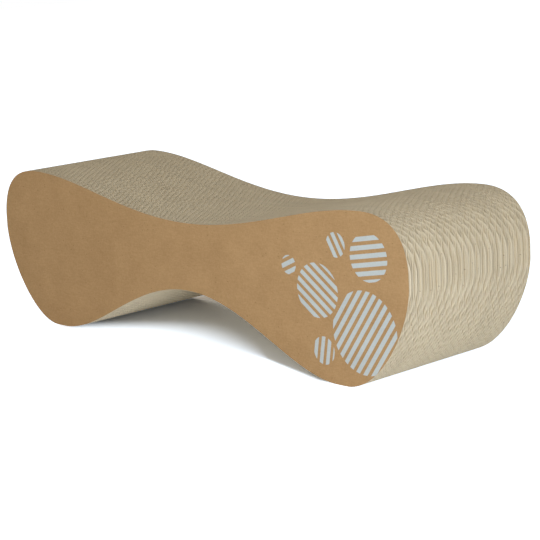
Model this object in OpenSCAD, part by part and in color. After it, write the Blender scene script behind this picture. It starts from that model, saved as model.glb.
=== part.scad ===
// Cat scratcher glued up from corrugated boards that are all cut to one bone-shaped outline.
// X runs along the length, Y across the stack of boards and Z up. The origin is on the floor,
// under the middle.

/* [Overall size] */
// Length from end to end
length = 700; // [620:1:900]
// Height of the two crests above the floor
height = 197.5; // [180:0.5:260]
// Boards glued side by side across the width
boards = 20; // [6:1:24]

/* [Outline] */
// Height of the saddle at mid-length
saddle_h = 157.5; // [130:0.5:175]
// Height of the arch under the waist
arch_h = 76; // [40:0.5:95]
// Distance of each crest from mid-length
crest_x = 283; // [230:1:300]
// Height of the point where each end stands upright
end_h = 127; // [90:1:150]
// Distance of each foot from mid-length
foot_x = 248; // [200:1:270]
// Length of the flat that each foot stands on
foot_flat = 12; // [6:1:30]

/* [Corrugated board] */
// Thickness of one board, which has two layers of waves between three flat papers
board_t = 10.3; // [7:0.1:14]
// Thickness of each flat paper
liner_t = 0.7; // [0.4:0.05:1]
// Thickness of the waved paper where two channels come nearest
medium_t = 0.6; // [0.4:0.05:1]
// Length of one wave
flute_pitch = 7.6; // [6:0.1:14]
// How far each layer's waves lie along from those of the layer before it
flute_shift = 4.15; // [0:0.05:7]

/* [Hidden] */

width = boards * board_t;
half_length = length / 2;

// Each board holds two layers, and each layer starts at a flat paper
layers = 2;
layer_t = (board_t - liner_t) / layers;

// Waves on each side of mid-length, which run past both ends of the outline
waves = ceil(half_length / flute_pitch) + 1;

// Straight steps along each curved stretch of the outline
saddle_steps = 7;
shoulder_steps = 6;
end_steps = 7;
arch_steps = 8;

// How far each curve runs on along its tangents, as shares of the stretch that it spans
saddle_shares = [0.40, 0.30];
shoulder_shares = [0.655, 0.68];
end_shares = [0.425, 0.49];
arch_shares = [0.30, 0.40];

kraft = [0.70, 0.57, 0.41];
cut_edge = [0.76, 0.68, 0.54];

// Where the outline is level or upright, from the top of the waist round to its underside
saddle = [0, saddle_h];
crest = [crest_x, height];
end_point = [half_length, end_h];
foot_outer = [foot_x + foot_flat / 2, 0];
foot_inner = [foot_x - foot_flat / 2, 0];
arch = [0, arch_h];

// Right half of the outline
half_outline = concat(
    stretch(saddle, [crest.x, 0] * saddle_shares[0], [crest.x, 0] * saddle_shares[1], crest, saddle_steps),
    stretch(
        crest,
        [end_point.x - crest.x, 0] * shoulder_shares[0],
        [0, end_point.y - crest.y] * shoulder_shares[1],
        end_point,
        shoulder_steps
    ),
    stretch(
        end_point,
        [0, -end_point.y] * end_shares[0],
        [foot_outer.x - end_point.x, 0] * end_shares[1],
        foot_outer,
        end_steps
    ),
    [foot_outer],
    stretch(
        foot_inner,
        [-foot_inner.x, 0] * arch_shares[0],
        [-foot_inner.x, 0] * arch_shares[1],
        arch,
        arch_steps
    ),
    [arch]
);

// Both halves, which share the saddle and the arch
outline = concat(
    half_outline,
    [for (k = [len(half_outline) - 2 : -1 : 1]) [-half_outline[k].x, half_outline[k].y]]
);

// Name of a board between the two outer ones, by its place in the stack
function inner_name(place) = str("board_", place < 10 ? "0" : "", place);

// Points of a cubic curve from start towards finish, without finish itself; it leaves start along
// leave and comes to finish along arrive
function stretch(start, leave, arrive, finish, steps) = [
    for (k = [0 : steps - 1]) curve_point(start, start + leave, finish - arrive, finish, k / steps)
];

function curve_point(a, b, c, d, t) =
    pow(1 - t, 3) * a + 3 * pow(1 - t, 2) * t * b + 3 * (1 - t) * pow(t, 2) * c + pow(t, 3) * d;

// The outline as a solid slab of one board's thickness
module outline_slab() {
    rotate([90, 0, 0])
    translate([0, 0, -board_t])
    linear_extrude(height = board_t)
    polygon(outline);
}

// Section of one channel, seen from above. It stands on a flat paper at y = 0 and points to the next.
module channel() {
    half_base = (flute_pitch - medium_t) / 2;
    tip = layer_t - liner_t - medium_t;
    polygon([[-half_base, 0], [half_base, 0], [0, tip]]);
}

// A row of channels along the length
module channel_row(phase) {
    for (k = [-waves : waves])
        translate([k * flute_pitch + phase, 0]) channel();
}

// Section of a whole board, seen from above. The channels of both layers stand on its outer papers,
// so those of the second layer lie half a wave on.
module board_section(place) {
    first_phase = (layers * place * flute_shift) % flute_pitch;
    second_phase = ((layers * place + 1) * flute_shift + flute_pitch / 2) % flute_pitch;
    difference() {
        translate([-half_length, 0]) square([length, board_t]);
        translate([0, liner_t]) channel_row(first_phase);
        translate([0, board_t - liner_t]) mirror([0, 1]) channel_row(second_phase);
    }
}

// One board in its place, counted from 1 at the near face. The waves run upright through it.
module board(place) {
    translate([0, (place - 1) * board_t - width / 2, 0])
    intersection() {
        outline_slab();
        linear_extrude(height = height) board_section(place);
    }
}

module near_face_board() {
    color(kraft) board(1);
}

module inner_board(place) {
    color(cut_edge) board(place);
}

module far_face_board() {
    color(kraft) board(boards);
}

near_face_board();
for (place = [2 : boards - 1])
    inner_board(place);
far_face_board();
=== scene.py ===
"""Scene of a cardboard cat scratcher: double-wall boards of one bone-shaped outline, glued face to face."""

import logging
import math
from dataclasses import dataclass
from enum import Enum
from typing import Any

import bpy
from mathutils import Matrix, Vector


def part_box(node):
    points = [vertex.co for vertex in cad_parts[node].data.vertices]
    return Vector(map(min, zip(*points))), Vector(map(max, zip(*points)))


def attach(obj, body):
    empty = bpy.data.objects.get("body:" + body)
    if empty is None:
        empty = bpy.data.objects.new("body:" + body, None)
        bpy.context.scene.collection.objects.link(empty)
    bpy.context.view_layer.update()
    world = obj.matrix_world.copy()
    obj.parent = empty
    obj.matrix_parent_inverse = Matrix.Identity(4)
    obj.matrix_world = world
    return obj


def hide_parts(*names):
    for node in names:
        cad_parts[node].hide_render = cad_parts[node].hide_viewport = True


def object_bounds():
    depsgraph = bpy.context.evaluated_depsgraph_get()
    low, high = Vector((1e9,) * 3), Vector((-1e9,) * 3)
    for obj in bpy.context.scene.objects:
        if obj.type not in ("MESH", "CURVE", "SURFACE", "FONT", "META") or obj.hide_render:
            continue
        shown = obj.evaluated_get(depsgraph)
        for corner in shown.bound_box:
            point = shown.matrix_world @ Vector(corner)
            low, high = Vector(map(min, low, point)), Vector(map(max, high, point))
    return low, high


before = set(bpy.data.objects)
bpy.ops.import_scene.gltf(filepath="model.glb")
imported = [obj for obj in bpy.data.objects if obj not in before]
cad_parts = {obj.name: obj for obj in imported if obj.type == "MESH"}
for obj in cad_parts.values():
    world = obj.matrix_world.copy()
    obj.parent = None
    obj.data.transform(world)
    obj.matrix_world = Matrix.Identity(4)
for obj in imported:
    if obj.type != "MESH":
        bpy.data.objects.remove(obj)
CAD_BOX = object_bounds()

BODY = "root"
NEAR_BOARD = "near_face_board"
FAR_BOARD = "far_face_board"

Colour = tuple[float, float, float, float]
Place = tuple[float, float, float]

log = logging.getLogger("scratcher")


def linear(red: int, green: int, blue: int) -> Colour:
    """Turn a screen colour into the linear one that shaders take, by the sRGB curve.

    Args:
        red: Red of the screen colour, from 0 to 255.
        green: Green of the screen colour.
        blue: Blue of the screen colour.

    Returns:
        The linear colour with an alpha of 1.
    """
    shares = [value / 255 for value in (red, green, blue)]
    channels = [s / 12.92 if s <= 0.04045 else ((s + 0.055) / 1.055) ** 2.4 for s in shares]
    return (*channels, 1.0)


class Slot(Enum):
    """Material slots of the record."""

    FACE = "face_board"
    INNER = "inner_board"


class Attribute(Enum):
    """Attributes that the boards' meshes carry for their materials."""

    CUT = "cut_edge"
    TONE = "paper_tone"


class Nodes:
    """Adds nodes to one tree and links them as they are made.

    The colour sockets of the Mix node go by number, as they share their names with its other sockets.
    """

    KIND = "ShaderNodeTree"
    MIX_FIRST = 6
    MIX_SECOND = 7
    MIX_OUT = 2

    def __init__(self, tree: bpy.types.NodeTree) -> None:
        """Keep the tree that the nodes go into."""
        self.tree = tree

    @classmethod
    def grouped(cls, name: str, inputs: dict[str, str], outputs: dict[str, str]) -> tuple[Any, Any, Any]:
        """Make a node group with named inputs and outputs.

        Args:
            name: The group's name.
            inputs: Socket type of each input, by name.
            outputs: Socket type of each output, by name.

        Returns:
            The node adder, the group's input sockets and its output node.
        """
        tree = bpy.data.node_groups.new(name, cls.KIND)
        for in_out, sockets in (("INPUT", inputs), ("OUTPUT", outputs)):
            for socket, kind in sockets.items():
                tree.interface.new_socket(name=socket, in_out=in_out, socket_type=f"NodeSocket{kind}")
        nodes = cls(tree)
        return nodes, nodes.add("NodeGroupInput").outputs, nodes.add("NodeGroupOutput")

    def add(self, kind: str, inputs: dict[Any, Any] | None = None, **settings: Any) -> bpy.types.Node:
        """Make one node.

        Args:
            kind: The node's type name.
            inputs: Sockets or values, by the input's name or number.
            settings: The node's own properties.

        Returns:
            The new node.
        """
        made = self.tree.nodes.new(kind)
        for name, value in settings.items():
            setattr(made, name, value)
        for key, value in (inputs or {}).items():
            if isinstance(value, bpy.types.NodeSocket):
                self.tree.links.new(value, made.inputs[key])
            else:
                made.inputs[key].default_value = value
        return made

    def math(self, operation: str, *values: Any) -> bpy.types.NodeSocket:
        """Result of a Math node on one to three sockets or numbers."""
        return self.add("ShaderNodeMath", dict(enumerate(values)), operation=operation).outputs[0]

    def vector(self, operation: str, *values: Any) -> bpy.types.NodeSocket:
        """Result of a Vector Math node on sockets or vectors."""
        return self.add("ShaderNodeVectorMath", dict(enumerate(values)), operation=operation).outputs[0]

    def scaled(self, value: Any, factor: Any) -> bpy.types.NodeSocket:
        """A vector times a number."""
        made = self.add("ShaderNodeVectorMath", {0: value, "Scale": factor}, operation="SCALE")
        return made.outputs[0]

    def combined(self, x: Any = 0.0, y: Any = 0.0, z: Any = 0.0) -> bpy.types.NodeSocket:
        """A vector made of three sockets or numbers."""
        return self.add("ShaderNodeCombineXYZ", {0: x, 1: y, 2: z}).outputs[0]

    def separated(self, value: bpy.types.NodeSocket) -> bpy.types.NodeOutputs:
        """The three parts of a vector."""
        return self.add("ShaderNodeSeparateXYZ", {0: value}).outputs

    def mixed(self, share: Any, first: Any, second: Any) -> bpy.types.NodeSocket:
        """A colour between two, by a share from 0 to 1."""
        inputs = {"Factor": share, self.MIX_FIRST: first, self.MIX_SECOND: second}
        return self.add("ShaderNodeMix", inputs, data_type="RGBA", clamp_factor=True).outputs[self.MIX_OUT]

    def noise(self, place: Any, scale: float, detail: float, seed: Any = None) -> bpy.types.NodeSocket:
        """Noise near a half.

        Args:
            place: Where it is taken.
            scale: How many of its patches fit in a metre.
            detail: How many finer layers lie on them.
            seed: A number that picks one of many patterns, or None for the plain one.

        Returns:
            The noise.
        """
        inputs = {"Vector": place, "Scale": scale, "Detail": detail}
        if seed is None:
            return self.add("ShaderNodeTexNoise", inputs).outputs[0]
        return self.add("ShaderNodeTexNoise", {**inputs, "W": seed}, noise_dimensions="4D").outputs[0]

    def carried(self, attribute: Attribute) -> bpy.types.NodeSocket:
        """The number that the mesh carries as an attribute."""
        return self.add("ShaderNodeAttribute", attribute_name=attribute.value).outputs["Fac"]


class ShapeNodes(Nodes):
    """Adds nodes to a geometry tree."""

    KIND = "GeometryNodeTree"
    OUTPUT = {"Geometry": "Geometry"}
    WELD = 2e-6

    def places(self) -> bpy.types.NodeOutputs:
        """The three parts of each point's place."""
        return self.separated(self.add("GeometryNodeInputPosition").outputs[0])

    def shape(self, item: Any) -> bpy.types.NodeSocket:
        """The geometry of an object."""
        return self.add("GeometryNodeObjectInfo", {"Object": item}).outputs["Geometry"]

    def hit(self, target: Any, start: Any, along: Any, length: float) -> bpy.types.NodeOutputs:
        """Where a ray first meets a shape, as the outputs of the raycast node."""
        inputs = {"Target Geometry": target, "Source Position": start, "Ray Direction": along}
        return self.add("GeometryNodeRaycast", {**inputs, "Ray Length": length}).outputs

    def grid(self, length: Any, width: float, columns: Any, rows: Any) -> bpy.types.NodeSocket:
        """A flat grid of faces about the origin."""
        inputs = {"Size X": length, "Size Y": width, "Vertices X": columns, "Vertices Y": rows}
        return self.add("GeometryNodeMeshGrid", inputs).outputs["Mesh"]

    def moved(self, geometry: Any, place: Any) -> bpy.types.NodeSocket:
        """Geometry with each point at a new place."""
        return self.add("GeometryNodeSetPosition", {"Geometry": geometry, "Position": place}).outputs[0]

    def flipped(self, mesh: Any) -> bpy.types.NodeSocket:
        """A mesh with its faces turned over."""
        return self.add("GeometryNodeFlipFaces", {"Mesh": mesh}).outputs[0]

    def joined(self, *parts: Any) -> bpy.types.NodeSocket:
        """Join several geometries.

        Args:
            parts: The geometries.

        Returns:
            All of them as one.
        """
        made = self.add("GeometryNodeJoinGeometry")
        for part in parts:
            self.tree.links.new(part, made.inputs["Geometry"])
        return made.outputs[0]

    def welded(self, geometry: Any) -> bpy.types.NodeSocket:
        """Geometry whose touching points are one."""
        inputs = {"Geometry": geometry, "Distance": self.WELD}
        return self.add("GeometryNodeMergeByDistance", inputs).outputs[0]

    def painted(self, geometry: Any, material: Any, picked: Any = True) -> bpy.types.NodeSocket:
        """Geometry with a material on its picked faces."""
        inputs = {"Geometry": geometry, "Selection": picked, "Material": material}
        return self.add("GeometryNodeSetMaterial", inputs).outputs[0]

    def marked(self, geometry: Any, mark: Attribute, value: Any, picked: Any = True) -> bpy.types.NodeSocket:
        """Let picked faces carry a number for their material.

        Args:
            geometry: The geometry.
            mark: The attribute that holds the number.
            value: The number.
            picked: Which faces carry it.

        Returns:
            The marked geometry.
        """
        inputs = {"Geometry": geometry, "Selection": picked, "Name": mark.value, "Value": value}
        made = self.add("GeometryNodeStoreNamedAttribute", inputs, data_type="FLOAT", domain="FACE")
        return made.outputs[0]

    def smoothed(self, geometry: Any, smooth: bool, domain: str, picked: Any = True) -> bpy.types.NodeSocket:
        """Geometry whose picked faces or edges are shaded smooth or sharp."""
        inputs = {"Geometry": geometry, "Selection": picked, "Shade Smooth": smooth}
        return self.add("GeometryNodeSetShadeSmooth", inputs, domain=domain).outputs[0]


@dataclass(frozen=True)
class Outline:
    """The bone-shaped outline that every board is cut to, in metres."""

    half_length: float
    height: float
    saddle_height: float = 0.1575
    arch_height: float = 0.076
    crest_x: float = 0.283
    end_height: float = 0.127
    foot_x: float = 0.248
    foot_flat: float = 0.012
    saddle_shares: tuple[float, float] = (0.40, 0.30)
    shoulder_shares: tuple[float, float] = (0.655, 0.68)
    end_shares: tuple[float, float] = (0.425, 0.49)
    arch_shares: tuple[float, float] = (0.30, 0.40)
    steps: int = 48

    def stretch(
        self, start: Vector, leave: Vector, arrive: Vector, finish: Vector, shares: tuple[float, float]
    ) -> list[Vector]:
        """Points of a cubic curve without its last one.

        Args:
            start: Where the curve starts.
            leave: Its first tangent.
            arrive: Its last tangent.
            finish: Where the curve ends.
            shares: How much of each tangent it follows.

        Returns:
            The points from start on.
        """
        places = (start, start + leave * shares[0], finish - arrive * shares[1], finish)
        points = []
        for step in range(self.steps):
            t = step / self.steps
            weights = ((1 - t) ** 3, 3 * (1 - t) ** 2 * t, 3 * (1 - t) * t ** 2, t ** 3)
            points.append(sum((w * p for w, p in zip(weights, places)), Vector((0, 0))))
        return points

    def points(self) -> list[Vector]:
        """Closed outline as (x, z) points, from the saddle over the right end and back over the left.

        Returns:
            The points.
        """
        saddle = Vector((0, self.saddle_height))
        crest = Vector((self.crest_x, self.height))
        end = Vector((self.half_length, self.end_height))
        outer = Vector((self.foot_x + self.foot_flat / 2, 0))
        inner = Vector((self.foot_x - self.foot_flat / 2, 0))
        arch = Vector((0, self.arch_height))
        level = Vector((1, 0))
        upright = Vector((0, 1))
        over = level * (end.x - crest.x)
        down = upright * (end.y - crest.y)
        under = level * (outer.x - end.x)
        half = self.stretch(saddle, level * crest.x, level * crest.x, crest, self.saddle_shares)
        half += self.stretch(crest, over, down, end, self.shoulder_shares)
        half += self.stretch(end, -upright * end.y, under, outer, self.end_shares)
        half += [outer]
        half += self.stretch(inner, -level * inner.x, -level * inner.x, arch, self.arch_shares)
        half += [arch]
        return half + [Vector((-p.x, p.y)) for p in reversed(half[1:-1])]

    def die(self, width: float) -> bpy.types.Object:
        """Make the cutting die: the outline as an open tube along Y, which paper and ink are cut against.

        Args:
            width: How far the tube runs to each side of the middle.

        Returns:
            The die, which is taken away once the cut pieces are made.
        """
        points = self.points()
        count = len(points)
        vertices = [(p.x, side * width, p.y) for side in (-1, 1) for p in points]
        faces = [(k, (k + 1) % count, (k + 1) % count + count, k + count) for k in range(count)]
        mesh = bpy.data.meshes.new("die")
        mesh.from_pydata(vertices, [], faces)
        made = bpy.data.objects.new("die", mesh)
        bpy.context.scene.collection.objects.link(made)
        return made


class PaperTree:
    """Geometry tree of one sheet of paper, waved or flat, that the die has cut on all sides.

    The sheet starts as a grid from -1 to 1 along X, with rows from -0.5 to 0.5 across. The inner rows, which
    only the flat papers have, end up close to the cut rims.
    """

    NAME = "Cut sheet"
    INPUTS = {
        "Die": "Object",
        **dict.fromkeys(("Paper", "Near Skin", "Far Skin"), "Material"),
        **dict.fromkeys(("Columns", "Rows"), "Int"),
        **dict.fromkeys(("Length", "Middle Y", "Wave Height", "Wave Pitch", "Wave Phase"), "Float"),
        **dict.fromkeys(("Thickness", "Wear", "Flutter", "Drift", "Seed"), "Float"),
    }
    GRID_LENGTH = 2.0
    GRID_WIDTH = 1.0
    INNER_WIDTH = 0.3
    REACH = 1.0
    RIM_DEPTH = 0.0016
    RIM_SHARE = 0.2
    END_SHARE = 0.9988
    CROWDING_SHARE = 0.7
    WEAR_SCALE = 260.0
    WEAR_DETAIL = 2.0
    FLUTTER_SCALE = 190.0
    FLUTTER_DETAIL = 1.0
    DRIFT_SCALE = 9.0
    DRIFT_DETAIL = 2.0
    SEED_STEP = 7.31
    SHARP_ANGLE = 0.7

    def __init__(self) -> None:
        """Start the tree with what its parts share: each point's place on the grid and the sheet's seed."""
        self.nodes, self.given, self.out = ShapeNodes.grouped(self.NAME, self.INPUTS, ShapeNodes.OUTPUT)
        self.along, across, _ = self.nodes.places()
        self.side = self.nodes.math("SIGN", across)
        self.inner = self.nodes.math("LESS_THAN", self.nodes.math("ABSOLUTE", across), self.INNER_WIDTH)
        self.seed = self.nodes.math("MULTIPLY", self.given["Seed"], self.SEED_STEP)

    def build(self) -> bpy.types.NodeTree:
        """Build the tree.

        Returns:
            The node group.
        """
        nodes = self.nodes
        grid = nodes.grid(self.GRID_LENGTH, self.GRID_WIDTH, self.given["Columns"], self.given["Rows"])
        x, _, z = nodes.separated(self.cut())
        sheet = nodes.moved(grid, nodes.combined(x, self.bent(x), z))
        tone = nodes.add("ShaderNodeTexWhiteNoise", {"W": self.seed}, noise_dimensions="1D").outputs["Value"]
        toned = nodes.marked(self.thickened(sheet), Attribute.TONE, tone)
        nodes.tree.links.new(toned, self.out.inputs[0])
        return nodes.tree

    def cut(self) -> bpy.types.NodeSocket:
        """Lay the grid between the rims that the die cuts, with its columns crowded towards the ends.

        Returns:
            The place of each point, with y at 0.
        """
        nodes = self.nodes
        even = nodes.math("MULTIPLY", self.along, self.END_SHARE * (1 - self.CROWDING_SHARE))
        bowed = nodes.math("SINE", nodes.math("MULTIPLY", self.along, math.pi / 2))
        spread = nodes.math("MULTIPLY_ADD", bowed, self.END_SHARE * self.CROWDING_SHARE, even)
        x = nodes.math("MULTIPLY", spread, nodes.math("MULTIPLY", self.given["Length"], 0.5))
        die = nodes.shape(self.given["Die"])
        top = self.rim(die, x, self.seed, 1.0)
        bottom = self.rim(die, x, nodes.math("ADD", self.seed, self.SEED_STEP / 2), -1.0)
        height = nodes.vector("SUBTRACT", top, bottom)
        tall = nodes.math("MAXIMUM", nodes.separated(height)[2], self.RIM_DEPTH)
        depth = nodes.math("MINIMUM", nodes.math("DIVIDE", self.RIM_DEPTH, tall), self.RIM_SHARE)
        reach = nodes.math("SUBTRACT", 0.5, nodes.math("MULTIPLY", self.inner, depth))
        share = nodes.math("MULTIPLY_ADD", self.side, reach, 0.5)
        return nodes.vector("ADD", bottom, nodes.scaled(height, share))

    def rim(self, die: Any, x: Any, seed: Any, side: float) -> bpy.types.NodeSocket:
        """Find where the die cuts the sheet above or below x, worn back a little.

        Args:
            die: The die's geometry.
            x: Place along the length.
            seed: Seed of the wear.
            side: 1 for the upper rim, -1 for the lower.

        Returns:
            The point on the rim, with y at 0.
        """
        nodes = self.nodes
        start = nodes.combined(x, 0.0, side * self.REACH)
        hit = nodes.hit(die, start, (0.0, 0.0, -side), 2 * self.REACH)
        worn = nodes.noise(hit["Hit Position"], self.WEAR_SCALE, self.WEAR_DETAIL, seed)
        back = nodes.math("MULTIPLY", worn, nodes.math("MULTIPLY", self.given["Wear"], -1.0))
        return nodes.vector("ADD", hit["Hit Position"], nodes.scaled(hit["Hit Normal"], back))

    def bent(self, x: Any) -> bpy.types.NodeSocket:
        """Bend the sheet into its wave, which drifts a little, and let its rims flutter.

        Args:
            x: Place along the length.

        Returns:
            The y of each point.
        """
        nodes, given = self.nodes, self.given
        drift = nodes.noise(nodes.combined(x), self.DRIFT_SCALE, self.DRIFT_DETAIL, self.seed)
        drifted = nodes.math("MULTIPLY_ADD", nodes.math("SUBTRACT", drift, 0.5), given["Drift"], x)
        phased = nodes.math("SUBTRACT", drifted, given["Wave Phase"])
        turned = nodes.math("DIVIDE", phased, given["Wave Pitch"])
        wave = nodes.math("SINE", nodes.math("MULTIPLY", turned, math.tau))
        swing = nodes.math("MULTIPLY", wave, nodes.math("MULTIPLY", given["Wave Height"], 0.5))
        rim = nodes.combined(x, nodes.math("MULTIPLY", self.side, self.REACH), 0.0)
        flutter = nodes.noise(rim, self.FLUTTER_SCALE, self.FLUTTER_DETAIL, self.seed)
        bend = nodes.math("MULTIPLY", nodes.math("SUBTRACT", flutter, 0.5), given["Flutter"])
        rim_bend = nodes.math("MULTIPLY", bend, nodes.math("SUBTRACT", 1.0, self.inner))
        return nodes.math("ADD", nodes.math("ADD", given["Middle Y"], swing), rim_bend)

    def thickened(self, sheet: Any) -> bpy.types.NodeSocket:
        """Give a sheet its thickness, close it and mark its cut edges.

        Args:
            sheet: The sheet's middle surface.

        Returns:
            The closed shell.
        """
        nodes, given = self.nodes, self.given
        normal = nodes.add("GeometryNodeInputNormal").outputs[0]
        offset = nodes.scaled(normal, nodes.math("MULTIPLY", given["Thickness"], -0.5))
        back = nodes.add("GeometryNodeSetPosition", {"Geometry": sheet, "Offset": offset}).outputs[0]
        grown = nodes.add(
            "GeometryNodeExtrudeMesh",
            {"Mesh": back, "Offset Scale": given["Thickness"], "Individual": False},
            mode="FACES",
        ).outputs
        edged = nodes.painted(grown["Mesh"], given["Paper"])
        faced = nodes.painted(edged, given["Near Skin"], grown["Top"])
        marked = nodes.marked(faced, Attribute.CUT, 1.0, grown["Side"])
        backed = nodes.painted(nodes.flipped(back), given["Far Skin"])
        closed = nodes.welded(nodes.joined(marked, backed))
        angle = nodes.add("GeometryNodeInputMeshEdgeAngle").outputs["Unsigned Angle"]
        sharp = nodes.math("GREATER_THAN", angle, self.SHARP_ANGLE)
        return nodes.smoothed(nodes.smoothed(closed, True, "FACE"), False, "EDGE", sharp)


class BoardTree:
    """Geometry tree of one double-wall board: three flat papers with a waved paper in each gap."""

    NAME = "Double-wall board"
    INPUTS = {
        "Die": "Object",
        **dict.fromkeys(("Near Skin", "Far Skin", "Inner Paper", "Wave Paper"), "Material"),
        **dict.fromkeys(("Length", "Near Y", "Board Thickness", "Liner Thickness"), "Float"),
        **dict.fromkeys(("Wave Thickness", "Wave Pitch", "First Phase", "Second Phase"), "Float"),
        **dict.fromkeys(("Wear", "Flutter", "Drift", "Seed"), "Float"),
    }
    INNER_SHARES = (0.25, 0.5, 0.75)
    WAVE = {"Columns": 1200, "Rows": 2}
    LINER = {"Columns": 480, "Rows": 4, "Wave Height": 0.0}
    LAST = 4

    def __init__(self, sheet: bpy.types.NodeTree) -> None:
        """Keep the tree of a single sheet, which this one uses five times."""
        self.sheet = sheet
        self.nodes, self.given, self.out = ShapeNodes.grouped(self.NAME, self.INPUTS, ShapeNodes.OUTPUT)

    def build(self) -> bpy.types.NodeTree:
        """Build the tree.

        Returns:
            The node group.
        """
        nodes, given = self.nodes, self.given
        thickness, liner = given["Board Thickness"], given["Liner Thickness"]
        first, middle, second = (nodes.math("MULTIPLY", thickness, share) for share in self.INNER_SHARES)
        outer = nodes.math("MULTIPLY", liner, 0.5)
        near = nodes.math("MULTIPLY", outer, 0.5)
        far = nodes.math("SUBTRACT", thickness, near)
        gap = nodes.math("SUBTRACT", middle, liner)
        swing = nodes.math("SUBTRACT", gap, given["Wave Thickness"])
        board = nodes.joined(
            self.liner(0, near, outer, {"Near Skin": given["Near Skin"]}),
            self.wave(1, first, swing, given["First Phase"]),
            self.liner(2, middle, liner, {}),
            self.wave(3, second, swing, given["Second Phase"]),
            self.liner(self.LAST, far, outer, {"Far Skin": given["Far Skin"]}),
        )
        nodes.tree.links.new(board, self.out.inputs[0])
        return nodes.tree

    def placed(self, order: int, paper: Any, offset: Any, values: dict[str, Any]) -> bpy.types.NodeSocket:
        """Place one sheet. The last one has the next board's first seed, as the two are glued together.

        Args:
            order: Its place among the board's sheets, from 0 at the near side.
            paper: Its material.
            offset: Its middle, measured from the board's near side.
            values: Its other inputs.

        Returns:
            The sheet's geometry.
        """
        nodes, given = self.nodes, self.given
        shared = {name: given[name] for name in ("Die", "Length", "Wave Pitch", "Wear", "Flutter", "Drift")}
        skins = dict.fromkeys(("Paper", "Near Skin", "Far Skin"), paper)
        middle = nodes.math("ADD", given["Near Y"], offset)
        seed = nodes.math("ADD", given["Seed"], order / self.LAST)
        inputs = {**shared, **skins, "Middle Y": middle, "Seed": seed, **values}
        return nodes.add("GeometryNodeGroup", inputs, node_tree=self.sheet).outputs[0]

    def liner(self, order: int, offset: Any, thickness: Any, skins: dict[str, Any]) -> bpy.types.NodeSocket:
        """Place a flat paper, whose sides may have skins of their own."""
        values = {**self.LINER, "Thickness": thickness, **skins}
        return self.placed(order, self.given["Inner Paper"], offset, values)

    def wave(self, order: int, offset: Any, swing: Any, phase: Any) -> bpy.types.NodeSocket:
        """Place a waved paper, which swings from side to side and rises through its middle at its phase."""
        values = {"Wave Height": swing, "Wave Phase": phase, "Thickness": self.given["Wave Thickness"]}
        return self.placed(order, self.given["Wave Paper"], offset, {**self.WAVE, **values})


def baked(name: str, tree: bpy.types.NodeTree, values: dict[str, Any]) -> bpy.types.Object:
    """Run a geometry tree once and keep its result as a plain mesh.

    Args:
        name: Name of the new piece.
        tree: The geometry tree.
        values: Its inputs by name.

    Returns:
        A mesh object with no modifier.
    """
    mesh = bpy.data.meshes.new(name)
    made = bpy.data.objects.new(name, mesh)
    bpy.context.scene.collection.objects.link(made)
    modifier = made.modifiers.new("build", "NODES")
    modifier.node_group = tree
    for item in tree.interface.items_tree:
        if item.item_type == "SOCKET" and item.in_out == "INPUT" and item.name in values:
            modifier[item.identifier] = values[item.name]
    made.update_tag()
    bpy.context.view_layer.update()
    graph = bpy.context.evaluated_depsgraph_get()
    result = bpy.data.meshes.new_from_object(made.evaluated_get(graph), depsgraph=graph)
    result.name = name
    made.modifiers.remove(modifier)
    made.data = result
    bpy.data.meshes.remove(mesh)
    return made


class GrainTree:
    """Shader group of paper: fibres that run along X, fine specks, soft clouds and dark flecks."""

    NAME = "Paper grain"
    INPUTS = {
        "Vector": "Vector",
        **dict.fromkeys(("Light", "Dark", "Fleck"), "Color"),
        **dict.fromkeys(("Fibre", "Mottle", "Flecks"), "Float"),
    }
    OUTPUTS = {"Color": "Color", "Height": "Float"}
    FIBRE_STRETCH = (0.12, 1.0, 1.0)
    FIBRE_SCALE = 900.0
    FIBRE_SHARE = 0.4
    SPECK_SCALE = 460.0
    FINE_DETAIL = 3.0
    CLOUD_SCALE = 34.0
    CLOUD_DETAIL = 5.0
    FLECK_STRETCH = (0.6, 1.0, 1.0)
    FLECK_SCALE = 330.0
    FLECK_SIZE = 0.2
    CLEAN_SHARE = 0.93

    @classmethod
    def build(cls) -> bpy.types.NodeTree:
        """Build the group.

        Returns:
            The node group, which puts out a colour and a height.
        """
        nodes, given, out = Nodes.grouped(cls.NAME, cls.INPUTS, cls.OUTPUTS)
        place = given["Vector"]
        stretched = nodes.vector("MULTIPLY", place, cls.FIBRE_STRETCH)
        streaks = nodes.noise(stretched, cls.FIBRE_SCALE, cls.FINE_DETAIL)
        specks = nodes.noise(place, cls.SPECK_SCALE, cls.FINE_DETAIL)
        cloud = nodes.noise(place, cls.CLOUD_SCALE, cls.CLOUD_DETAIL)
        streak_part = nodes.math("MULTIPLY", streaks, cls.FIBRE_SHARE)
        fibres = nodes.math("MULTIPLY_ADD", specks, 1.0 - cls.FIBRE_SHARE, streak_part)
        fibre_part = nodes.math("MULTIPLY", nodes.math("SUBTRACT", fibres, 0.5), given["Fibre"])
        cloud_part = nodes.math("MULTIPLY", nodes.math("SUBTRACT", cloud, 0.5), given["Mottle"])
        share = nodes.math("ADD", nodes.math("ADD", fibre_part, cloud_part), 0.5)
        paper = nodes.mixed(share, given["Dark"], given["Light"])
        spread = nodes.vector("MULTIPLY", place, cls.FLECK_STRETCH)
        cells = nodes.add("ShaderNodeTexVoronoi", {"Vector": spread, "Scale": cls.FLECK_SCALE}).outputs
        near = nodes.math("LESS_THAN", cells["Distance"], cls.FLECK_SIZE)
        picked = nodes.math("GREATER_THAN", nodes.separated(cells["Color"])[0], cls.CLEAN_SHARE)
        fleck = nodes.math("MULTIPLY", nodes.math("MULTIPLY", near, picked), given["Flecks"])
        flecked = nodes.mixed(fleck, paper, given["Fleck"])
        nodes.tree.links.new(flecked, out.inputs["Color"])
        nodes.tree.links.new(fibres, out.inputs["Height"])
        return nodes.tree


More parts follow.
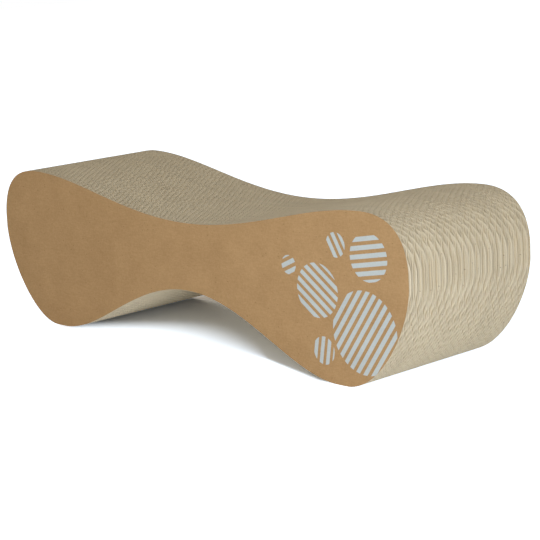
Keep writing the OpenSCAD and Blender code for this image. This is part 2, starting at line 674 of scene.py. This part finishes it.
@dataclass(frozen=True)
class PaperFinish:
    """Finish of one kind of paper, or of ink on it. Only paper whose cut edges show has a cut colour."""

    name: str
    light: Colour
    dark: Colour
    fleck: Colour
    cut: Colour | None = None
    fibre: float = 1.2
    mottle: float = 1.0
    flecks: float = 0.6
    tone: float = 0.0
    ribs: float = 0.0
    rib_pitch: float = 0.0076
    roughness: float = 0.85
    specular: float = 0.25
    bump: float = 0.25
    bump_depth: float = 0.00012

    def build(self, grain: bpy.types.NodeTree) -> bpy.types.Material:
        """Make the material.

        Args:
            grain: The paper grain group.

        Returns:
            The material.
        """
        material = bpy.data.materials.new(self.name)
        material.use_nodes = True
        nodes = Nodes(material.node_tree)
        shader = material.node_tree.nodes["Principled BSDF"]
        place = nodes.add("ShaderNodeTexCoord").outputs["Object"]
        paper = self.grained(nodes, grain, place, self.light)
        colour, height = paper["Color"], paper["Height"]
        if self.cut:
            edge = self.grained(nodes, grain, place, self.cut)
            colour = nodes.mixed(nodes.carried(Attribute.CUT), colour, edge["Color"])
        if self.tone:
            tone = nodes.carried(Attribute.TONE)
            level = nodes.math("MULTIPLY_ADD", tone, self.tone, 1.0 - self.tone / 2)
            colour = nodes.scaled(colour, level)
        if self.ribs:
            along = nodes.separated(place)[0]
            rib = nodes.math("SINE", nodes.math("MULTIPLY", along, math.tau / self.rib_pitch))
            height = nodes.math("MULTIPLY_ADD", rib, self.ribs, height)
        relief = {"Strength": self.bump, "Distance": self.bump_depth, "Height": height}
        bump = nodes.add("ShaderNodeBump", relief).outputs[0]
        nodes.tree.links.new(colour, shader.inputs["Base Color"])
        nodes.tree.links.new(bump, shader.inputs["Normal"])
        shader.inputs["Roughness"].default_value = self.roughness
        shader.inputs["Specular IOR Level"].default_value = self.specular
        return material

    def grained(self, nodes: Nodes, grain: Any, place: Any, light: Colour) -> bpy.types.NodeOutputs:
        """Place the grain group with this finish's values.

        Args:
            nodes: The node adder.
            grain: The paper grain group.
            place: Where the grain is taken.
            light: The lighter of its two colours.

        Returns:
            The group's outputs.
        """
        inputs = {
            "Vector": place,
            "Light": light,
            "Dark": self.dark,
            "Fleck": self.fleck,
            "Fibre": self.fibre,
            "Mottle": self.mottle,
            "Flecks": self.flecks,
        }
        return nodes.add("ShaderNodeGroup", inputs, node_tree=grain).outputs


KRAFT_FACE = PaperFinish(
    name="kraft_face",
    light=linear(183, 148, 105),
    dark=linear(162, 128, 87),
    fleck=linear(115, 85, 55),
    fibre=1.9,
    flecks=0.45,
    ribs=0.25,
)
CUT_LINER = PaperFinish(
    name="liner_paper",
    light=linear(239, 226, 200),
    dark=linear(223, 209, 181),
    fleck=linear(157, 135, 107),
    cut=linear(238, 226, 199),
    tone=0.07,
)
WAVE_PAPER = PaperFinish(
    name="wave_paper",
    light=linear(237, 224, 197),
    dark=linear(222, 207, 179),
    fleck=linear(148, 127, 99),
    cut=linear(233, 221, 194),
    tone=0.07,
)
PRINT_INK = PaperFinish(
    name="print_ink",
    light=linear(196, 203, 203),
    dark=linear(179, 186, 186),
    fleck=linear(173, 163, 145),
    fibre=1.4,
    mottle=0.8,
    flecks=0.35,
    roughness=0.7,
)


@dataclass(frozen=True)
class BoardStack:
    """The stack of glued boards."""

    outline: Outline
    width: float
    flute_pitch: float = 0.0076
    flute_shift: float = 0.00415
    liner: float = 0.0008
    medium: float = 0.0010
    face_inset: float = 0.00005
    wear: float = 0.0003
    flutter: float = 0.00025
    drift: float = 0.010

    LAYERS = 2

    def names(self) -> list[str]:
        """Names of the boards' nodes from the near side to the far side."""
        inner = sorted(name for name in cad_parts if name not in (NEAR_BOARD, FAR_BOARD))
        return [NEAR_BOARD, *inner, FAR_BOARD]

    def phase(self, place: int, layer: int) -> float:
        """Where along X a layer's wave rises through its middle, with places counted from 1."""
        shift = (self.LAYERS * place + layer) * self.flute_shift
        return shift % self.flute_pitch - self.flute_pitch / 4

    def inputs(self, place: int, name: str, materials: dict[str, bpy.types.Material]) -> dict[str, Any]:
        """Inputs of one board's tree, apart from the die.

        Args:
            place: The board's place in the stack, from 1 at the near side.
            name: Its node.
            materials: The finishes' materials by name.

        Returns:
            The inputs by name.
        """
        low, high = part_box(name)
        near_inset = self.face_inset if name == NEAR_BOARD else 0.0
        far_inset = self.face_inset if name == FAR_BOARD else 0.0
        kraft, inner = materials[KRAFT_FACE.name], materials[CUT_LINER.name]
        return {
            "Near Skin": kraft if name == NEAR_BOARD else inner,
            "Far Skin": kraft if name == FAR_BOARD else inner,
            "Inner Paper": inner,
            "Wave Paper": materials[WAVE_PAPER.name],
            "Length": 2 * self.outline.half_length,
            "Near Y": low.y + near_inset,
            "Board Thickness": high.y - low.y - near_inset - far_inset,
            "Liner Thickness": self.liner,
            "Wave Thickness": self.medium,
            "Wave Pitch": self.flute_pitch,
            "First Phase": self.phase(place, 0),
            "Second Phase": self.phase(place, 1),
            "Wear": self.wear,
            "Flutter": self.flutter,
            "Drift": self.drift,
            "Seed": float(place),
        }

    def build(self, materials: dict[str, bpy.types.Material]) -> None:
        """Make every board and let it stand for its node.

        Args:
            materials: The finishes' materials by name.
        """
        tree = BoardTree(PaperTree().build()).build()
        die = self.outline.die(self.width)
        for place, name in enumerate(self.names(), start=1):
            board = baked(f"{name}_card", tree, {"Die": die, **self.inputs(place, name, materials)})
            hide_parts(name)
            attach(board, BODY)
            log.info("%s: %d faces", board.name, len(board.data.polygons))
        bpy.data.objects.remove(die)


class BallTree:
    """Geometry tree of one striped ball of ink, whose stripes end where the die cuts.

    The ball starts as a grid. Its X runs across the stripes, and its two rows are the stripes' ends.
    """

    NAME = "Striped ball"
    INPUTS = {
        "Die": "Object",
        "Material": "Material",
        **dict.fromkeys(("Steps", "Inked Steps"), "Int"),
        **dict.fromkeys(("X", "Z", "Back Y", "Radius", "Slant"), "Float"),
        **dict.fromkeys(("Stripe Pitch", "Ink Thickness", "Margin"), "Float"),
    }
    GRID_WIDTH = 2.0
    ROWS = 2
    WHOLE_TURNS = 100.0
    RAY_LENGTH = 1.0

    def __init__(self) -> None:
        """Start the tree with each point's place on the grid."""
        self.nodes, self.given, self.out = ShapeNodes.grouped(self.NAME, self.INPUTS, ShapeNodes.OUTPUT)
        self.across, self.end, _ = self.nodes.places()

    def build(self) -> bpy.types.NodeTree:
        """Build the tree.

        Returns:
            The node group.
        """
        nodes = self.nodes
        flat = nodes.welded(nodes.moved(self.stripes(), self.cut()))
        ink = nodes.painted(self.thickened(flat), self.given["Material"])
        nodes.tree.links.new(ink, self.out.inputs[0])
        return nodes.tree

    def stripes(self) -> bpy.types.NodeSocket:
        """Make the grid, without the faces between its inked stripes.

        Returns:
            The stripes.
        """
        nodes, given = self.nodes, self.given
        step = nodes.math("DIVIDE", given["Stripe Pitch"], given["Steps"])
        diameter = nodes.math("MULTIPLY", given["Radius"], 2.0)
        count = nodes.math("FLOOR", nodes.math("DIVIDE", diameter, step))
        length = nodes.math("MULTIPLY", count, step)
        grid = nodes.grid(length, self.GRID_WIDTH, nodes.math("ADD", count, 1.0), self.ROWS)
        turn = nodes.math("DIVIDE", self.across, given["Stripe Pitch"])
        part = nodes.math("FRACT", nodes.math("ADD", turn, self.WHOLE_TURNS))
        inked = nodes.math("DIVIDE", given["Inked Steps"], given["Steps"])
        bare = {"Geometry": grid, "Selection": nodes.math("GREATER_THAN", part, inked)}
        return nodes.add("GeometryNodeDeleteGeometry", bare, domain="FACE").outputs[0]

    def cut(self) -> bpy.types.NodeSocket:
        """Lay the stripes' ends on the ball's rim, or on the die's where the ball reaches past it.

        Returns:
            The place of each point.
        """
        nodes, given = self.nodes, self.given
        radius_square = nodes.math("POWER", given["Radius"], 2.0)
        square = nodes.math("SUBTRACT", radius_square, nodes.math("POWER", self.across, 2.0))
        chord = nodes.math("SQRT", nodes.math("MAXIMUM", square, 0.0))
        cosine = nodes.math("COSINE", given["Slant"])
        sine = nodes.math("SINE", given["Slant"])
        along = nodes.combined(cosine, 0.0, sine)
        side = nodes.combined(nodes.math("MULTIPLY", sine, -1.0), 0.0, cosine)
        centre = nodes.combined(given["X"], given["Back Y"], given["Z"])
        middle = nodes.vector("ADD", centre, nodes.scaled(side, self.across))
        start = nodes.vector("SUBTRACT", middle, nodes.scaled(along, chord))
        die = nodes.shape(given["Die"])
        first = nodes.hit(die, start, along, self.RAY_LENGTH)
        dot = {0: first["Hit Normal"], 1: along}
        against = nodes.add("ShaderNodeVectorMath", dot, operation="DOT_PRODUCT").outputs["Value"]
        outside = nodes.math("MULTIPLY", nodes.math("LESS_THAN", against, 0.0), first["Is Hit"])
        begin = nodes.math("MULTIPLY", outside, nodes.math("ADD", first["Hit Distance"], given["Margin"]))
        entry = nodes.vector("ADD", start, nodes.scaled(along, begin))
        second = nodes.hit(die, entry, along, self.RAY_LENGTH)
        room = nodes.math("SUBTRACT", second["Hit Distance"], given["Margin"])
        leave = nodes.math("ADD", begin, nodes.math("MAXIMUM", room, 0.0))
        finish = nodes.math("MINIMUM", nodes.math("MULTIPLY", chord, 2.0), leave)
        inside = nodes.math("MAXIMUM", nodes.math("SUBTRACT", finish, begin), 0.0)
        length = nodes.math("MULTIPLY", inside, second["Is Hit"])
        reach = nodes.math("MULTIPLY_ADD", length, nodes.math("GREATER_THAN", self.end, 0.0), begin)
        return nodes.vector("ADD", start, nodes.scaled(along, reach))

    def thickened(self, flat: Any) -> bpy.types.NodeSocket:
        """Give the ink its thickness towards the viewer and close it.

        Args:
            flat: The ink's back.

        Returns:
            The closed ink.
        """
        nodes = self.nodes
        forward = nodes.math("MULTIPLY", self.given["Ink Thickness"], -1.0)
        grown = nodes.add(
            "GeometryNodeExtrudeMesh",
            {"Mesh": flat, "Offset": nodes.combined(0.0, forward, 0.0), "Individual": False},
            mode="FACES",
        ).outputs["Mesh"]
        return nodes.welded(nodes.joined(grown, nodes.flipped(flat)))


@dataclass(frozen=True)
class Ball:
    """One striped ball of the print, with its place on the near face and its stripes' slant in degrees."""

    x: float
    z: float
    radius: float
    slant: float


@dataclass(frozen=True)
class FacePrint:
    """Pale striped balls printed on the near face. The ink's back lies sunk in the paper."""

    outline: Outline
    face_y: float
    balls: tuple[Ball, ...] = (
        Ball(x=0.284, z=0.064, radius=0.047, slant=55.0),
        Ball(x=0.215, z=0.103, radius=0.031, slant=-35.0),
        Ball(x=0.293, z=0.148, radius=0.027, slant=10.0),
        Ball(x=0.222, z=0.036, radius=0.016, slant=80.0),
        Ball(x=0.245, z=0.157, radius=0.014, slant=-60.0),
        Ball(x=0.172, z=0.127, radius=0.011, slant=25.0),
    )
    pitch: float = 0.0094
    steps_per_pitch: int = 9
    inked_steps: int = 5
    ink: float = 0.00006
    sunk: float = 0.00002
    margin: float = 0.0006

    def build(self, materials: dict[str, bpy.types.Material]) -> None:
        """Print every ball as a thin film of ink.

        Args:
            materials: The finishes' materials by name.
        """
        back_y = self.face_y + self.sunk
        die = self.outline.die(2 * abs(back_y))
        tree = BallTree().build()
        for number, ball in enumerate(self.balls, start=1):
            values = {
                "Die": die,
                "Material": materials[PRINT_INK.name],
                "X": ball.x,
                "Z": ball.z,
                "Back Y": back_y,
                "Radius": ball.radius,
                "Slant": math.radians(ball.slant),
                "Stripe Pitch": self.pitch,
                "Steps": self.steps_per_pitch,
                "Inked Steps": self.inked_steps,
                "Ink Thickness": self.ink,
                "Margin": self.margin,
            }
            made = baked(f"face_print_{number}", tree, values)
            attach(made, BODY)
            log.info("%s: %d faces", made.name, len(made.data.polygons))
        bpy.data.objects.remove(die)


WARM_LIGHT = (1.12, 1.02, 0.85)
AMBER_LIGHT = (1.14, 1.02, 0.83)
COOL_LIGHT = (0.88, 0.99, 1.13)


class LampKind(Enum):
    """Kinds of lamp in the studio."""

    SUN = "SUN"
    AREA = "AREA"


@dataclass(frozen=True)
class Lamp:
    """One lamp. Its spread is the width of an area lamp in metres, or the angle of a sun in degrees."""

    name: str
    kind: LampKind
    place: Place
    strength: float
    spread: float
    colour: Place = (1.0, 1.0, 1.0)

    def data(self) -> bpy.types.Light:
        """Make the lamp, without a place yet.

        Returns:
            The lamp's data.
        """
        lamp = bpy.data.lights.new(self.name, self.kind.value)
        lamp.energy = self.strength
        lamp.color = self.colour
        if self.kind is LampKind.SUN:
            lamp.angle = math.radians(self.spread)
        else:
            lamp.size = self.spread
        return lamp


@dataclass(frozen=True)
class Shadow:
    """The floor's shaded part, in metres, with a painted outline: a white glow covers the floor all round.

    It is a rounded box, whose front lies at a limit. A wedge with a blunt tip and one steeper slope cuts into
    that front. The rim is soft at the tip and gets crisp over its reach.
    """

    half_length: float = 0.245
    back: float = 0.22
    squareness: float = 4.0
    edge_share: float = 0.1
    middle: float = -0.115
    front: float = -0.0034
    slope: float = 0.542
    tilt: float = 0.247
    bluntness: float = 0.057
    limit: float = -0.102
    soft: float = 0.0585
    crisp: float = 0.0052
    reach: float = 0.2185

    def before(self, nodes: Nodes, x: Any, y: Any) -> bpy.types.NodeSocket:
        """How far a point lies before the front line.

        Args:
            nodes: The node adder.
            x: The point's place along the object.
            y: Its place across the object.

        Returns:
            -1 at the rim's grey side and 1 at its white side.
        """
        along = nodes.math("SUBTRACT", x, self.middle)
        square = nodes.math("MULTIPLY", along, along)
        bow = nodes.math("SQRT", nodes.math("ADD", square, self.bluntness ** 2))
        level = nodes.math("MULTIPLY_ADD", along, self.tilt, self.front)
        wedge = nodes.math("MULTIPLY_ADD", bow, -self.slope, level)
        line = nodes.math("MAXIMUM", wedge, self.limit)
        softness = nodes.math("MULTIPLY_ADD", square, -self.soft / self.reach ** 2, self.soft)
        fade = nodes.math("MAXIMUM", softness, self.crisp)
        return nodes.math("DIVIDE", nodes.math("SUBTRACT", line, y), fade)

    def white(self, nodes: Nodes) -> bpy.types.NodeSocket:
        """How far the painted white glow covers the floor, before the front line and beyond the rounded box.

        Args:
            nodes: The node adder.

        Returns:
            A number from 0 to 1.
        """
        x, y, _ = nodes.separated(nodes.add("ShaderNodeTexCoord").outputs["Object"])
        sideways = nodes.math("DIVIDE", nodes.math("ABSOLUTE", x), self.half_length)
        behind = nodes.math("DIVIDE", nodes.math("MAXIMUM", y, 0.0), self.back)
        powers = [nodes.math("POWER", ratio, self.squareness) for ratio in (sideways, behind)]
        radius = nodes.math("POWER", nodes.math("ADD", *powers), 1.0 / self.squareness)
        beyond = nodes.math("DIVIDE", nodes.math("SUBTRACT", radius, 1.0), self.edge_share)
        # Outside this outline the painted white glow covers the floor's real shade.
        outside = nodes.math("MAXIMUM", self.before(nodes, x, y), beyond)
        inputs = {"Value": outside, "From Min": -1.0, "From Max": 1.0}
        return nodes.add("ShaderNodeMapRange", inputs, interpolation_type="SMOOTHSTEP").outputs["Result"]


@dataclass(frozen=True)
class Studio:
    """Floor, light and camera."""

    camera_at: Place = (1.60876, -1.51734, 0.53729)
    camera_aim: Place = (0.03511, 0.0, 0.08677)
    camera_roll: float = 2.648
    camera_lens: float = 123.47
    sensor: float = 36.0
    floor_size: float = 12.0
    floor_white: float = 0.95
    floor_grey: Place = (0.99, 1.01, 1.03)
    floor_shown: float = 1.34
    floor_bounce: float = 0.29
    # Colour of the floor's glow, which is the colour of its painted bounce light on the object.
    glow_tint: Place = COOL_LIGHT
    shadow: Shadow = Shadow()
    ambient: float = 0.045
    lamps: tuple[Lamp, ...] = (
        Lamp("front_light", LampKind.SUN, (0.3, -1.0, 0.35), strength=0.91, spread=60.0, colour=WARM_LIGHT),
        Lamp("side_lamp", LampKind.AREA, (1.3, -1.1, 0.65), strength=7.4, spread=0.9, colour=COOL_LIGHT),
        Lamp("near_lamp", LampKind.AREA, (0.5, -0.85, 0.12), strength=1.9, spread=0.5),
        Lamp("top_light", LampKind.SUN, (0.2, 0.3, 1.0), strength=0.56, spread=60.0, colour=AMBER_LIGHT),
    )
    lamp_aim: Place = (0.0, 0.0, 0.1)

    def build(self) -> None:
        """Make the floor, the world, the lamps and the camera."""
        self.floor()
        self.world()
        for lamp in self.lamps:
            self.aimed(lamp.data(), lamp.place, self.lamp_aim)
        self.camera()
        bpy.context.scene.view_settings.view_transform = "Standard"
        log.info("studio ready")

    @staticmethod
    def seen(nodes: Nodes) -> bpy.types.NodeSocket:
        """Tell the rays that show the floor and the world from those that only light the object.

        Args:
            nodes: The node adder.

        Returns:
            1 for rays from the camera and those that gloss and glass send on, else 0.
        """
        path = nodes.add("ShaderNodeLightPath").outputs
        gloss = nodes.math("MAXIMUM", path["Is Camera Ray"], path["Is Glossy Ray"])
        return nodes.math("MAXIMUM", gloss, path["Is Transmission Ray"])

    def floor(self) -> None:
        """Make the pale floor, which rises into plain white and throws some of that light at the object."""
        half = self.floor_size / 2
        mesh = bpy.data.meshes.new("floor")
        corners = [(-half, -half, 0), (half, -half, 0), (half, half, 0), (-half, half, 0)]
        mesh.from_pydata(corners, [], [(0, 1, 2, 3)])
        mesh.materials.append(self.floor_material())
        floor = bpy.data.objects.new("floor", mesh)
        bpy.context.scene.collection.objects.link(floor)

    def floor_material(self) -> bpy.types.Material:
        """Make the floor's material: matt grey, with a painted glow that rises white around the shadow.

        Returns:
            The material.
        """
        material = bpy.data.materials.new("floor")
        material.use_nodes = True
        nodes = Nodes(material.node_tree)
        seen = self.seen(nodes)
        white = nodes.math("MULTIPLY_ADD", seen, self.floor_shown - self.floor_white, self.floor_white)
        matt = nodes.add("ShaderNodeBsdfDiffuse", {"Color": nodes.scaled(self.floor_grey, white)})
        # The glow also lights the object, as painted bounce light from the floor around the shadow.
        share = nodes.math("MULTIPLY_ADD", seen, 1.0 - self.floor_bounce, self.floor_bounce)
        strength = nodes.math("MULTIPLY", self.shadow.white(nodes), share)
        glow = nodes.add("ShaderNodeEmission", {"Color": (*self.glow_tint, 1.0), "Strength": strength})
        both = nodes.add("ShaderNodeAddShader", {0: matt.outputs[0], 1: glow.outputs[0]})
        output = material.node_tree.nodes["Material Output"]
        nodes.tree.links.new(both.outputs[0], output.inputs["Surface"])
        return material

    def world(self) -> None:
        """Make the even light all round, which shows as white behind the object."""
        world = bpy.data.worlds.new("studio")
        world.use_nodes = True
        nodes = Nodes(world.node_tree)
        background = world.node_tree.nodes["Background"]
        background.inputs["Color"].default_value = (1.0, 1.0, 1.0, 1.0)
        extra = nodes.math("MULTIPLY", self.seen(nodes), 1.0 - self.ambient)
        nodes.tree.links.new(nodes.math("ADD", extra, self.ambient), background.inputs["Strength"])
        bpy.context.scene.world = world

    @staticmethod
    def aimed(data: bpy.types.ID, place: Place, aim: Place, roll: float = 0.0) -> bpy.types.Object:
        """Place a lamp or camera so that it looks at a point.

        Args:
            data: The lamp or camera.
            place: Where it stands.
            aim: What it looks at.
            roll: Turn about its line of sight, in degrees.

        Returns:
            The new object.
        """
        made = bpy.data.objects.new(data.name, data)
        stand = Vector(place)
        turn = (Vector(aim) - stand).to_track_quat("-Z", "Y").to_matrix().to_4x4()
        rolled = Matrix.Rotation(math.radians(roll), 4, "Z")
        made.matrix_world = Matrix.Translation(stand) @ turn @ rolled
        bpy.context.scene.collection.objects.link(made)
        return made

    def camera(self) -> None:
        """Make the camera at the photograph's place."""
        data = bpy.data.cameras.new("camera")
        data.lens = self.camera_lens
        data.sensor_width = self.sensor
        camera = self.aimed(data, self.camera_at, self.camera_aim, -self.camera_roll)
        bpy.context.scene.camera = camera


def main() -> None:
    """Build the boards, the print and the studio."""
    logging.basicConfig(level=logging.INFO, format="%(name)s: %(message)s")
    low, high = CAD_BOX
    outline = Outline(half_length=high[0], height=high[2])
    grain = GrainTree.build()
    finishes = (KRAFT_FACE, CUT_LINER, WAVE_PAPER, PRINT_INK)
    materials = {finish.name: finish.build(grain) for finish in finishes}
    boards = BoardStack(outline=outline, width=high[1] - low[1])
    boards.build(materials)
    FacePrint(outline=outline, face_y=low[1] + boards.face_inset).build(materials)
    Studio().build()


if __name__ == "__main__":
    main()
